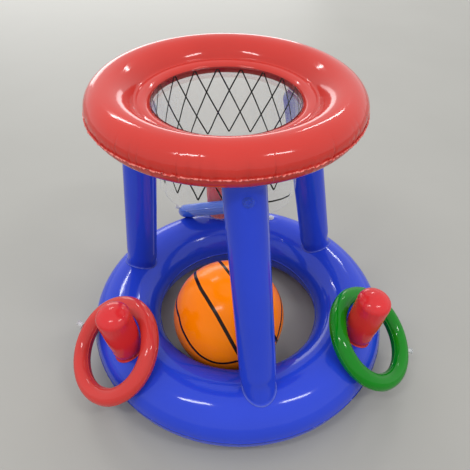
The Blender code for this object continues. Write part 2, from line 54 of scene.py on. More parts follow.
BASE_RADIUS = 0.2116
BASE_HALF_WIDTH = 0.0604
BASE_HALF_HEIGHT = 0.0565
BASE_CENTRE_HEIGHT = 0.0560
WELD_LIP = 0.0012
WELD_HALF = 0.00045
WELD_TURN = 0.8
TIP_TURN = 0.1
BASE_SECTION_STEPS = 72
BASE_PUCKERS = {"steps": 540, "puckers": 26.0, "depth": 0.0008, "seed": 0.4}
SEAM_LIFT = 4.5
BLUE = (34, 63, 199)
BLUE_SEAM = (16, 30, 110)
# Each weld's angle in the section, with the film's slack there and its reach in degrees.
BASE_WELDS = {0: (1.0, 9.0), 180: (0.45, 8.0)}


def colour(red, green, blue):
    """A display colour from 0 to 255 as the linear one that a shader takes."""
    shares = [part / 255 for part in (red, green, blue)]
    return (*[s / 12.92 if s <= 0.04045 else ((s + 0.055) / 1.055) ** 2.4 for s in shares], 1)


class Number:
    """A socket in a node tree, so that sums of such sockets are written as Python's."""

    def __init__(self, graph, output):
        self.graph = graph
        self.output = output

    def __add__(self, other):
        return self.graph.maths("ADD", self, other)

    def __radd__(self, other):
        return self.graph.maths("ADD", other, self)

    def __sub__(self, other):
        return self.graph.maths("SUBTRACT", self, other)

    def __rsub__(self, other):
        return self.graph.maths("SUBTRACT", other, self)

    def __mul__(self, other):
        return self.graph.maths("MULTIPLY", self, other)

    def __rmul__(self, other):
        return self.graph.maths("MULTIPLY", other, self)

    def __truediv__(self, other):
        return self.graph.maths("DIVIDE", self, other)

    def __pow__(self, other):
        return self.graph.maths("POWER", self, other)

    def __abs__(self):
        return self.graph.maths("ABSOLUTE", self)

    def under(self, limit, edge):
        """1 below the limit, 0 above it, with a soft edge."""
        values = {0: self, 1: limit - edge, 2: limit + edge, 3: 1.0, 4: 0.0}
        return self.graph.node("ShaderNodeMapRange", {"interpolation_type": "SMOOTHSTEP"}, values)


class Graph:
    """A node tree that is being built."""

    def __init__(self, tree):
        self.tree = tree

    def put(self, socket, value):
        if isinstance(value, Number):
            self.tree.links.new(value.output, socket)
        else:
            socket.default_value = value

    def node(self, kind, settings=None, values=None, output=0):
        made = self.tree.nodes.new(kind)
        for name, setting in (settings or {}).items():
            setattr(made, name, setting)
        for place, value in (values or {}).items():
            self.put(made.inputs[place], value)
        return Number(self, made.outputs[output])

    def maths(self, operation, first, second=0.0):
        return self.node("ShaderNodeMath", {"operation": operation}, {0: first, 1: second})

    def vector(self, operation, first, second=(0, 0, 0)):
        return self.node("ShaderNodeVectorMath", {"operation": operation}, {0: first, 1: second})

    def scaled(self, vector, factor):
        return self.node("ShaderNodeVectorMath", {"operation": "SCALE"}, {0: vector, 3: factor})

    def noise(self, place, scale, detail=2.0, seed=0.0):
        values = {"Vector": place, "W": seed, "Scale": scale, "Detail": detail}
        return self.node("ShaderNodeTexNoise", {"noise_dimensions": "4D"}, values)

    def mixed(self, share, first, second):
        settings = {"data_type": "RGBA"}
        return self.node("ShaderNodeMix", settings, {0: share, 6: first, 7: second}, output=2)

    def most(self, first, *others):
        """The largest of several numbers."""
        for other in others:
            first = self.maths("MAXIMUM", first, other)
        return first

    def part(self, vector, axis):
        return self.node("ShaderNodeSeparateXYZ", values={0: vector}, output=axis)

    def bump(self, height):
        values = {"Strength": 1.0, "Distance": 1.0, "Height": height}
        return self.node("ShaderNodeBump", values=values)

    def mark(self, name):
        return self.node("ShaderNodeAttribute", {"attribute_name": name}, output="Fac")

    def place(self, centre):
        """Where a point of the surface lies, seen from the middle of its piece."""
        here = self.node("ShaderNodeTexCoord", output="Object")
        return self.vector("SUBTRACT", here, tuple(centre))


PVC_IOR = 1.54
PVC_GLEAM = 0.3


def new_finish(name, roughness, **fixed):
    """A material with its Principled shader, whose even values are set on the shader itself."""
    material = bpy.data.materials.new(name)
    material.use_nodes = True
    graph = Graph(material.node_tree)
    shader = material.node_tree.nodes["Principled BSDF"]
    shader.inputs["Roughness"].default_value = roughness
    shader.inputs["IOR"].default_value = PVC_IOR
    shader.inputs["Specular IOR Level"].default_value = PVC_GLEAM
    for socket, value in fixed.items():
        shader.inputs[socket.replace("_", " ")].default_value = value
    return material, graph, shader.inputs


PALE_GAIN = 1.05
PALE_LIFT = 8
DEEP_GAIN = 0.86
CLOUD_SCALE = 9.0
DASH_SCALE = 60.0
RIB_SCALE = 130.0
SWELL_SCALE = 28.0
RIB_HEIGHT = 0.0005
SWELL_HEIGHT = 0.00025
CREASE_SHARPNESS = 26
WELD_COVER = 0.85


def film(name, look, seam, centre, creases, depth, roughness=0.10, gleam=0.28, broken=0.0):
    """Glossy PVC film. Creases run across the welds, with painted shade in them. The welds take the
    seam colour, which is a painted glint where it is paler than the film, and it may be broken into
    dashes.
    """
    material, graph, shader = new_finish(name, roughness, Specular_IOR_Level=gleam)
    place = graph.place(centre)
    level = graph.vector("NORMALIZE", graph.vector("MULTIPLY", place, (1, 1, 0)))
    slack = graph.mark("slack")
    weld = graph.mark("weld")
    cloud = graph.noise(place, CLOUD_SCALE, 3.0)
    full = colour(*look)
    pale = colour(*[min(255, PALE_GAIN * part + PALE_LIFT) for part in look])
    deep = colour(*[DEEP_GAIN * part for part in look])
    shade = graph.mixed(cloud, graph.mixed(0.45, full, deep), graph.mixed(0.35, full, pale))
    # The welds are drawn in the seam colour. On the hoop, legs and pegs this is a paler painted glint,
    # which the noise breaks into dashes on the hoop. On the base it is the dark weld line.
    dashes = graph.noise(level, DASH_SCALE, 1.0, 2.2).under(0.5, 0.06)
    shade = graph.mixed(weld * (WELD_COVER - dashes * broken), shade, colour(*seam))
    ridge = 1 - abs(graph.noise(level, creases, 1.0, 3.7) * 2 - 1)
    crease = ridge ** CREASE_SHARPNESS * slack
    ribs = graph.noise(level, RIB_SCALE, 1.0) * (weld * 0.6 + slack ** 9)
    swell = graph.noise(place, SWELL_SCALE, 1.0, 1.3)
    height = swell * SWELL_HEIGHT - crease * depth + ribs * RIB_HEIGHT
    # Painted shade: the creases are drawn in the deeper film colour as well as pressed in by the bump.
    graph.put(shader["Base Color"], graph.mixed(crease * 0.3, shade, deep))
    graph.put(shader["Roughness"], roughness - 0.03 + cloud * 0.06 + weld * 0.1)
    graph.put(shader["Normal"], graph.bump(height))
    return material


SEAM_MERGE = 0.00001


def ring_tree():
    """Turns a closed section about Z and draws it in along the welds in puckers."""
    tree = bpy.data.node_groups.new("Inflated ring", "GeometryNodeTree")
    inputs = {
        "Section": "NodeSocketGeometry",
        "Steps": "NodeSocketInt",
        "Puckers": "NodeSocketFloat",
        "Pucker depth": "NodeSocketFloat",
        "Seed": "NodeSocketFloat",
        "Film": "NodeSocketMaterial",
    }
    for name, kind in inputs.items():
        tree.interface.new_socket(name, in_out="INPUT", socket_type=kind)
    tree.interface.new_socket("Skin", in_out="OUTPUT", socket_type="NodeSocketGeometry")
    graph = Graph(tree)
    entry = tree.nodes.new("NodeGroupInput")
    given = {name: Number(graph, entry.outputs[name]) for name in inputs}
    count = graph.node("GeometryNodeAttributeDomainSize", values={"Geometry": given["Section"]})
    sizes = {"Size X": 1.0, "Size Y": 1.0, "Vertices X": given["Steps"] + 1, "Vertices Y": count + 1}
    grid = graph.node("GeometryNodeMeshGrid", values=sizes)
    index = graph.node("GeometryNodeInputIndex")
    row = graph.maths("MODULO", graph.maths("MODULO", index, count + 1), count)
    step = graph.maths("FLOOR", index / (count + 1))
    angle = step * (2 * math.pi) / given["Steps"]

    def sampled(kind, value):
        values = {"Geometry": given["Section"], "Value": value, "Index": row}
        return graph.node("GeometryNodeSampleIndex", {"data_type": kind}, values)

    def named(kind, name):
        return graph.node("GeometryNodeInputNamedAttribute", {"data_type": kind}, {"Name": name})

    at = sampled("FLOAT_VECTOR", graph.node("GeometryNodeInputPosition"))
    pull = sampled("FLOAT_VECTOR", named("FLOAT_VECTOR", "pull"))
    round_z = {"rotation_type": "Z_AXIS"}
    spoke = graph.node("ShaderNodeVectorRotate", round_z, {"Vector": (1, 0, 0), "Angle": angle})
    wave = graph.noise(spoke, given["Puckers"], 1.0, given["Seed"])
    valley = 1 - abs(wave * 4 - 2)
    drawn = graph.vector("ADD", at, graph.scaled(pull, valley * given["Pucker depth"]))
    lift = sampled("FLOAT", named("FLOAT", "weld")) * (wave - 0.5)
    lift = lift * given["Pucker depth"] * SEAM_LIFT
    drawn = graph.vector("ADD", drawn, graph.scaled((0, 0, 1), lift))
    turned = graph.node("ShaderNodeVectorRotate", round_z, {"Vector": drawn, "Angle": angle})
    skin = graph.node("GeometryNodeSetPosition", values={"Geometry": grid, "Position": turned})
    for name in ("slack", "weld"):
        values = {"Geometry": skin, "Name": name, "Value": sampled("FLOAT", named("FLOAT", name))}
        skin = graph.node("GeometryNodeStoreNamedAttribute", {"data_type": "FLOAT"}, values)
    skin = graph.node("GeometryNodeMergeByDistance", values={"Geometry": skin, "Distance": SEAM_MERGE})
    skin = graph.node("GeometryNodeSetShadeSmooth", values={"Geometry": skin})
    skin = graph.node("GeometryNodeRealizeInstances", values={"Geometry": skin})
    skin = graph.node("GeometryNodeSetMaterial", values={"Geometry": skin, "Material": given["Film"]})
    graph.put(tree.nodes.new("NodeGroupOutput").inputs["Skin"], skin)
    return tree


RING_TREE = ring_tree()


def degrees_apart(first, second):
    """The angle from the second to the first, between -180 and 180 degrees."""
    return (first - second + 180) % 360 - 180


def tube_section(radius, half_width, half_height, welds, steps, lip):
    """Rows of out, up, slack and weld round a tube welded at some angles with some slack."""
    rows = []
    spacing = 360 / steps
    for angle in np.arange(0, 360, spacing):
        if min(abs(degrees_apart(angle, at)) for at in welds) < spacing / 2:
            continue
        rows.append((angle, radius, angle, 0))
    for at in welds:
        tip = radius + math.copysign(lip, math.cos(math.radians(at)))
        for side in (-1, 1):
            turn = at + side * WELD_TURN
            rows += [(turn, radius, turn, 0), (at + side * TIP_TURN, tip, turn, 1)]
    section = []
    for _, middle, angle, weld in sorted(rows):
        turn = math.radians(angle)
        slack = 0
        for at, (share, reach) in welds.items():
            apart = degrees_apart(angle, at) / reach
            slack = max(slack, share * math.exp(-(apart ** 2)))
        out = middle + half_width * math.cos(turn)
        section.append((out, half_height * math.sin(turn), slack, weld))
    return section


def added(name, data):
    """A new object in the scene."""
    made = bpy.data.objects.new(name, data)
    bpy.context.scene.collection.objects.link(made)
    return made


def piece(name, mesh, body, slot, *nodes):
    """A finished mesh as a piece of its CAD body, in the place of CAD nodes."""
    made = added(name, mesh)
    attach(made, body)
    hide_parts(*nodes)
    return made


SAME_POINT = 0.000005


def cleaned(mesh):
    """Closes a mesh's seams and poles and turns its faces outwards."""
    shape = bmesh.new()
    shape.from_mesh(mesh)
    bmesh.ops.remove_doubles(shape, verts=shape.verts, dist=SAME_POINT)
    bmesh.ops.recalc_face_normals(shape, faces=shape.faces)
    shape.to_mesh(mesh)
    shape.free()
    mesh.shade_smooth()
    return mesh


def marked(mesh, name, values):
    """Keeps a number at each point of a mesh."""
    mesh.attributes.new(name, "FLOAT", "POINT").data.foreach_set("value", values)


def inflated_ring(name, section, place, look, steps, puckers, depth, seed):
    """The skin that the ring tree makes from a section, moved to its place."""
    outline = bpy.data.meshes.new(name)
    count = len(section)
    points = np.array([(out, 0, up) for out, up, _, _ in section])
    edges = [(i, (i + 1) % count) for i in range(count)]
    outline.from_pydata(points.tolist(), edges, [])
    ahead = np.roll(points, -1, 0) - np.roll(points, 1, 0)
    inward = np.stack([-ahead[:, 2], ahead[:, 1], ahead[:, 0]], 1)
    inward /= np.linalg.norm(inward, axis=1)[:, None]
    slack = np.array([row[2] for row in section])
    marked(outline, "slack", slack)
    marked(outline, "weld", np.array([row[3] for row in section]))
    pull = outline.attributes.new("pull", "FLOAT_VECTOR", "POINT")
    pull.data.foreach_set("vector", (inward * slack[:, None] ** 5).ravel())
    source = added(name + "_section", outline)
    modifier = source.modifiers.new("Ring", "NODES")
    modifier.node_group = RING_TREE
    given = {"Steps": steps, "Puckers": puckers, "Pucker depth": depth, "Seed": seed, "Film": look}
    for item in RING_TREE.interface.items_tree:
        if item.name in given:
            modifier[item.identifier] = given[item.name]
    depsgraph = bpy.context.evaluated_depsgraph_get()
    evaluated = source.evaluated_get(depsgraph)
    mesh = bpy.data.meshes.new_from_object(evaluated, depsgraph=depsgraph)
    source.modifiers.remove(modifier)
    bpy.data.objects.remove(source)
    mesh.transform(place)
    mesh.name = name
    return cleaned(mesh)


def box_middle(*nodes):
    """The middle of the box round CAD nodes."""
    corners = [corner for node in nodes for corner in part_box(node)]
    low = Vector([min(corner[i] for corner in corners) for i in range(3)])
    high = Vector([max(corner[i] for corner in corners) for i in range(3)])
    return (low + high) / 2


def joint_frame(name):
    """Z along a joint's axis, with its origin at the joint's place."""
    joint = next(j for j in frame["joints"] if j["name"] == name)
    turn = Vector(joint["axis"]).to_track_quat("Z", "Y").to_matrix().to_4x4()
    return Matrix.Translation(joint["pos_m"]) @ turn


def valve_frame(name):
    """The seat of a valve on the film, with Z pointing out along the plug's way."""
    return joint_frame(f"valve_{name}_plug_pull")


DIMPLE_FLAT = 0.0088
DIMPLE_REACH = 0.0190
DIMPLE_FINE = 1.25 * DIMPLE_REACH
DIMPLE_FAR = 1.6 * DIMPLE_REACH
DIMPLE_RISE = 0.0001


def dimpled(mesh, *valves):
    """Draws the film down to the seats of valves, whose stiff flanges hold it flat."""
    shape = bmesh.new()
    shape.from_mesh(mesh)
    for name in valves:
        seat = valve_frame(name).inverted()

        def near(edge):
            local = seat @ ((edge.verts[0].co + edge.verts[1].co) / 2)
            return local.length < DIMPLE_FINE

        for cuts in (2, 1):
            edges = [edge for edge in shape.edges if near(edge)]
            bmesh.ops.subdivide_edges(shape, edges=edges, cuts=cuts, use_grid_fill=True)
        for vertex in shape.verts:
            local = seat @ vertex.co
            if local.length < DIMPLE_FAR and local.xy.length < DIMPLE_REACH:
                share = (local.xy.length - DIMPLE_FLAT) / (DIMPLE_REACH - DIMPLE_FLAT)
                share = min(max(share, 0), 1)
                share = share * share * (3 - 2 * share)
                local.z = local.z * share + min(local.z, DIMPLE_RISE) * (1 - share)
                vertex.co = seat.inverted() @ local
    bmesh.ops.recalc_face_normals(shape, faces=shape.faces)
    shape.to_mesh(mesh)
    shape.free()
    mesh.shade_smooth()
    return mesh


base_middle = box_middle("base_upper_sheet", "base_lower_sheet")
base_middle.z = BASE_CENTRE_HEIGHT
base_sizes = (BASE_RADIUS, BASE_HALF_WIDTH, BASE_HALF_HEIGHT)
base_section = tube_section(*base_sizes, BASE_WELDS, BASE_SECTION_STEPS, WELD_LIP)
base_section = [(out, max(up, -BASE_CENTRE_HEIGHT), *rest) for out, up, *rest in base_section]
base_film = film("Blue film of the base", BLUE, BLUE_SEAM, base_middle, creases=7.0, depth=0.0005)
base_place = Matrix.Translation(base_middle)
base_mesh = inflated_ring("base_ring", base_section, base_place, base_film, **BASE_PUCKERS)
dimpled(base_mesh, "base")
piece("base_ring", base_mesh, "hoop_frame", "blue_film", "base_upper_sheet", "base_lower_sheet")

# Hoop
# Two ring-shaped sheets of red film, welded at the outer edge, in a crease and at the inner
# lip, so that inflating makes a tube with a smaller bead inside it. It is filled from below.

HOOP_HEIGHT = 0.4953
HOOP_RADIUS = 0.1594
HOOP_HALF_WIDTH = 0.0302
HOOP_HALF_HEIGHT = 0.0277
HOOP_INNER_HALF_WIDTH = 0.0355
HOOP_INNER_POWER = 0.75
HOOP_SEAM_DEG = -8.8
CREASE_DEG = 163.0
CREASE_WIDTH = 0.0024
BEAD_HALF_WIDTH = 0.0094
BEAD_HALF_HEIGHT = 0.0055
LIP_DROP = 0.0032
CREASE_RISE = 0.0030
RED = (195, 50, 42)
# Painted glints: the hoop's outer weld and inner lip are drawn in this pale red, in dashes, for the
# light that they catch.
RED_SEAM_GLINT = (250, 146, 134)
HOOP_LIP = 0.0018
HOOP_PUCKERS = {"steps": 800, "puckers": 46.0, "depth": 0.0018, "seed": 0.9}
HOOP_GLOSS = {"creases": 6.0, "depth": 0.0010, "gleam": 0.30, "broken": 0.75}
HOOP_SLACK_DEG = 38
HOOP_ROWS = 26
HOOP_EDGE_DEG = (12, 8, 5, 2.5, 1)
BEAD_ROWS = 16
LIP_SLACK = 0.3

crease_turn = math.radians(CREASE_DEG)
crease_radius = HOOP_RADIUS + HOOP_INNER_HALF_WIDTH * math.cos(crease_turn) - CREASE_WIDTH
bead_radius = crease_radius + BEAD_HALF_WIDTH * math.cos(crease_turn)
lip_radius = bead_radius - BEAD_HALF_WIDTH - WELD_LIP


def hoop_half(side):
    """Rows of the hoop's section from the lip to the outer weld, above for 1 and below for -1."""
    rows = [(lip_radius, side * WELD_HALF - LIP_DROP, LIP_SLACK, 1)]
    for angle in np.linspace(180, 180 - CREASE_DEG, BEAD_ROWS):
        turn = math.radians(angle)
        out = bead_radius + BEAD_HALF_WIDTH * math.cos(turn)
        low = CREASE_RISE if out > bead_radius else WELD_HALF
        up = max(BEAD_HALF_HEIGHT * math.sin(turn), low)
        drop = LIP_DROP * (crease_radius - out) / (crease_radius - lip_radius)
        rows.append((out, side * up - drop, 0, 0))
    rows.append((crease_radius + CREASE_WIDTH / 2, side * CREASE_RISE, 0, 0))
    seam = side * HOOP_SEAM_DEG
    edge = seam + np.array(HOOP_EDGE_DEG)
    for angle in [*np.linspace(CREASE_DEG, edge[0], HOOP_ROWS)[:-1], *edge]:
        turn = math.radians(angle)
        slack = math.exp(-(((angle - seam) / HOOP_SLACK_DEG) ** 2))
        inside = angle * side > 90
        reach = HOOP_INNER_HALF_WIDTH if inside else HOOP_HALF_WIDTH
        power = 2 * HOOP_INNER_POWER if inside else 1
        swell = math.copysign(abs(math.sin(turn)) ** power, math.sin(turn))
        rows.append((HOOP_RADIUS + reach * math.cos(turn), side * HOOP_HALF_HEIGHT * swell, slack, 0))
    turn = math.radians(HOOP_SEAM_DEG)
    tip = HOOP_RADIUS + HOOP_HALF_WIDTH * math.cos(turn) + HOOP_LIP
    rows.append((tip, HOOP_HALF_HEIGHT * math.sin(turn) + side * WELD_HALF, 1.0, 1))
    return rows


hoop_middle = box_middle("hoop_upper_sheet", "hoop_lower_sheet")
hoop_middle.z = HOOP_HEIGHT
hoop_section = hoop_half(-1) + hoop_half(1)[::-1]
hoop_film = film("Red film of the hoop", RED, RED_SEAM_GLINT, hoop_middle, **HOOP_GLOSS)
hoop_place = Matrix.Translation(hoop_middle)
hoop_mesh = inflated_ring("hoop", hoop_section, hoop_place, hoop_film, **HOOP_PUCKERS)
dimpled(hoop_mesh, "hoop")
piece("hoop", hoop_mesh, "hoop_frame", "red_film", "hoop_upper_sheet", "hoop_lower_sheet")

# Net
# One cylinder of thin clear film, welded to the hoop's lip and open at both ends. The mesh of
# a net is printed on it in black, and the film ripples a little as it hangs.

NET_LENGTH = 0.130
NET_TAPER = 0.0014
NET_ABOVE_LIP = 0.0025
NET_INSET = 0.0005
NET_FILM = 0.00025
NET_DIAMONDS = 18
NET_ROW = 0.0372
NET_TOP_ROW = 0.5016
NET_PRINT_LEAN = (-0.0018, -0.0087)
NET_PRINT_SPREAD = (0.080, 0.014)
NET_LINE = 0.0023
PRINT_EDGE = 0.0002
NET_PRINT_ENDS = (0.025, 1.5)
NET_HEM_LINE = (2.26, 0.143)
NET_HEM_TURNS = (-3.0, 0.72)
NET_HEM_SHARE = 0.6
NET_PRINT_DEG = 10
NET_WELD_ENDS = (0.0062, 0.0086, 0.0145)
NET_FADE = (0.085, 0.035)
NET_SAG = 0.008
NET_SAG_DEG = -15
NET_STEPS = 360
NET_ROWS = 40
NET_RIPPLE = 0.0016
NET_TWIST = 0.4
NET_LONG_WAVES = (5, 9, 14)
NET_SHORT_WAVES = (23, 31)
CLEAR = (226, 228, 232)
BLACK = (10, 8, 6)
WELD_RED = (128, 20, 22)
FAINT_RED = (206, 168, 170)


def full_turn(steps):
    """Even angles round a circle."""
    return np.linspace(0, 2 * math.pi, steps, endpoint=False)


def wave(angle, seed, counts):
    """A smooth random wave round a ring, between -1 and 1."""
    spread = np.random.default_rng(seed)
    total = sum(np.sin(n * angle + spread.uniform(0, 2 * math.pi)) for n in counts)
    return total / len(counts)


def grid_mesh(name, points, look):
    """A smooth skin through rows of points, each row closed into a loop."""
    rows, columns = points.shape[:2]
    mesh = bpy.data.meshes.new(name)
    faces = []
    for i in range(rows - 1):
        for k in range(columns):
            after = (k + 1) % columns
            row, below = i * columns, (i + 1) * columns
            faces.append((row + k, below + k, below + after, row + after))
    mesh.from_pydata(points.reshape(-1, 3).tolist(), [], faces)
    mesh.materials.append(look)
    mesh.shade_smooth()
    return mesh


def net_finish():
    """Clear film with the net's lines in black and a painted sheen where it is seen edge-on. Its wide
    pattern hangs from the hoop's lip.
    """
    material, graph, shader = new_finish("Clear printed film", 0.12)
    across = graph.node("ShaderNodeUVMap", {"uv_map": "net"})
    turn = graph.part(across, 0)
    down = graph.part(across, 1)
    slope = math.hypot(1, 2 * math.pi * lip_radius / NET_DIAMONDS / 2 / NET_ROW)
    lines = []
    for side in (1, -1):
        share = turn + down * side
        apart = abs(share - graph.maths("ROUND", share)) * (2 * NET_ROW / slope)
        lines.append(apart.under(NET_LINE, PRINT_EDGE))
    start, end = NET_PRINT_ENDS
    ink = graph.most(*lines) * down.under(end, 0.004) * (1 - down.under(start, 0.01))
    level, rise = NET_HEM_LINE
    middle, reach = NET_HEM_TURNS
    hem = abs(down - level - turn * rise).under(NET_HEM_SHARE * NET_LINE / (2 * NET_ROW), 0.003)
    ink = graph.most(ink, hem * abs(turn - middle).under(reach, 0.01))
    place = graph.place(hoop_middle)
    cloud = graph.noise(place, 14.0, 2.0)
    clear = colour(*CLEAR)
    rim = graph.node("ShaderNodeLayerWeight", values={"Blend": 0.3}, output="Facing")
    streaks = graph.noise(graph.vector("MULTIPLY", place, (1, 1, 0.12)), 60.0, 2.0)
    sunk = -LIP_DROP - graph.part(place, 2)
    pressed, line, faint = NET_WELD_ENDS
    weld = sunk.under(pressed, 0.0005)
    edge = abs(sunk - line).under(0.0006, 0.0004)
    strip = sunk.under(faint, 0.0010)
    tint = graph.mixed(strip, clear, colour(*FAINT_RED))
    tint = graph.mixed(weld, tint, colour(*WELD_RED))
    graph.put(shader["Base Color"], graph.mixed(ink, graph.mixed(edge, tint, clear), colour(*BLACK)))
    # Painted sheen: the film is drawn paler and less clear where it is seen edge-on, in streaks and
    # mostly near the top, for the light it reflects there. The small even part is the film's own haze.
    upper = sunk.under(*NET_FADE) * 0.8 + 0.2
    haze_and_sheen = 0.05 + rim ** 1.5 * (0.4 + streaks) * upper
    graph.put(shader["Alpha"], graph.most(haze_and_sheen, strip * 0.2, weld * 0.85, edge * 0.7, ink))
    graph.put(shader["Roughness"], 0.08 + cloud * 0.1)
    graph.put(shader["Normal"], graph.bump(streaks * 0.002))
    return material


net_turn = full_turn(NET_STEPS)
net_rows = []
net_sag = NET_SAG * np.cos((net_turn - math.radians(NET_SAG_DEG)) / 2) ** 4
for share in np.linspace(0, 1, NET_ROWS):
    up = NET_ABOVE_LIP - LIP_DROP - share * (NET_LENGTH + NET_ABOVE_LIP - LIP_DROP + net_sag)
    ripple = wave(net_turn, 4, NET_LONG_WAVES)
    ripple = ripple + 0.5 * wave(net_turn + NET_TWIST * share, 7, NET_SHORT_WAVES)
    radius = lip_radius - NET_INSET - NET_TAPER * share + (NET_RIPPLE * ripple + net_sag / 2) * share
    net_rows.append(np.stack([radius * np.cos(net_turn), radius * np.sin(net_turn), up], 1))
net_mesh = grid_mesh("net", np.array(net_rows) + np.array(hoop_middle), net_finish())
net_uv = net_mesh.uv_layers.new(name="net")
for polygon in net_mesh.polygons:
    corners = [net_mesh.vertices[i].co - hoop_middle for i in polygon.vertices]
    turns = [math.degrees(math.atan2(corner.y, corner.x)) for corner in corners]
    first = turns[0]
    for loop, corner, turn in zip(polygon.loop_indices, corners, turns):
        turn = first + degrees_apart(turn, first)
        outward = corner.xy.normalized()
        drop = NET_TOP_ROW - corner.z - HOOP_HEIGHT + outward.dot(NET_PRINT_LEAN)
        drop /= 1 - outward.dot(NET_PRINT_SPREAD)
        net_uv.data[loop].uv = ((turn - NET_PRINT_DEG) / (360 / NET_DIAMONDS), drop / (2 * NET_ROW))
net_object = piece("net", net_mesh, "hoop_frame", "clear_film", "net_film")
net_wall = net_object.modifiers.new("Film", "SOLIDIFY")
net_wall.thickness = NET_FILM
net_wall.offset = -1

# Legs
# Three slim tubes of blue film between the base and the hoop. Each end narrows to a long weld
# that lies along the ring's film, and each leg has its own valve near its top.

LEG_AZIMUTHS = {"front": -90, "right": 30, "left": 150}
LEG_FOOT_INSET = 0.0056
LEG_HEAD_INSET = 0.0178
LEG_FOOT_RADIUS = 0.0288
LEG_HEAD_RADIUS = 0.0275
FOOT_WELD_INSET = 0.0026
FOOT_WELD_LONG = 0.0295
FOOT_WELD_ACROSS = 0.0250
FOOT_TAPER = 0.033
HEAD_WELD_INSET = 0.0044
HEAD_WELD_LONG = 0.0180
HEAD_WELD_ACROSS = 0.0220
HEAD_TAPER = 0.014
END_LIP = 0.0025
END_LIFT = 0.0008
LEG_SIDES = 72
LEG_LOOPS = 40
END_LOOPS = 14
END_MARK = (0.5, 1)
END_SLACK = 0.7
# Painted highlight: the legs' end welds, and at this share the seam along each leg, are drawn in the
# paler blue below for the light along them.
LEG_SEAM_COVER = 0.7
LEG_WELD_GLINT = (118, 134, 232)
LEG_SEAM_TURNS = {"front": 60, "right": -35, "left": 170}
Z_AXIS = Vector((0, 0, 1))


class Tube:
    """A ring's skin, on which welds lie: its centre, radius and the half sizes of its section."""

    def __init__(self, centre, radius, half_width, half_height, inner_half_width, inner_power):
        self.centre = centre
        self.radius = radius
        self.half_height = half_height
        self.outside = (half_width, 0.5)
        self.inside = (inner_half_width, inner_power)

    def rise(self, x, y, clearance):
        """How far the skin, or a point just clear of it, stands from the ring's mid plane."""
        away = math.hypot(x - self.centre.x, y - self.centre.y) - self.radius
        reach, power = self.outside if away > 0 else self.inside
        share = away / (reach + clearance)
        return (self.half_height + clearance) * max(0, 1 - share * share) ** power

    def weld(self, middle, outward, sizes, side, sides):
        """A closed loop on the skin, above it for side 1 and below it for side -1."""
        sideways = Z_AXIS.cross(outward)
        loop = []
        for k in range(sides):
            turn = 2 * math.pi * k / sides
            point = middle + outward * sizes[0] * math.cos(turn) + sideways * sizes[1] * math.sin(turn)
            point.z = self.centre.z + side * self.rise(point.x, point.y, END_LIFT)
            loop.append(point)
        return np.array(loop)


BASE_TUBE = Tube(base_middle, BASE_RADIUS, BASE_HALF_WIDTH, BASE_HALF_HEIGHT, BASE_HALF_WIDTH, 0.5)
hoop_sizes = (HOOP_HALF_WIDTH, HOOP_HALF_HEIGHT, HOOP_INNER_HALF_WIDTH, HOOP_INNER_POWER)
HOOP_TUBE = Tube(hoop_middle, HOOP_RADIUS, *hoop_sizes)


def spoke(azimuth):
    """The level direction at an azimuth."""
    turn = math.radians(azimuth)
    return Vector((math.cos(turn), math.sin(turn), 0))


def eased(weld, full, shares):
    """Loops between a weld and a full section, bulging out from the weld at once."""
    loops = []
    for share in shares:
        swell = math.sin(share * math.pi / 2)
        loop = weld + (full - weld) * swell
        loop[:, 2] = weld[:, 2] + (full[:, 2] - weld[:, 2]) * share
        loops.append(loop)
    return loops


def closed_skin(name, loops, marks, look):
    """A closed skin through loops, with a flat end at both, and slack and weld marks a loop."""
    middles = [np.repeat(loop.mean(0)[None], len(loop), 0) for loop in (loops[0], loops[-1])]
    points = np.array([middles[0], *loops, middles[1]])
    marks = [marks[0], *marks, marks[-1]]
    mesh = grid_mesh(name, points, look)
    sides = points.shape[1]
    for column, label in enumerate(("slack", "weld")):
        values = [np.broadcast_to(mark[column], sides) for mark in marks]
        marked(mesh, label, np.concatenate(values))
    return cleaned(mesh)


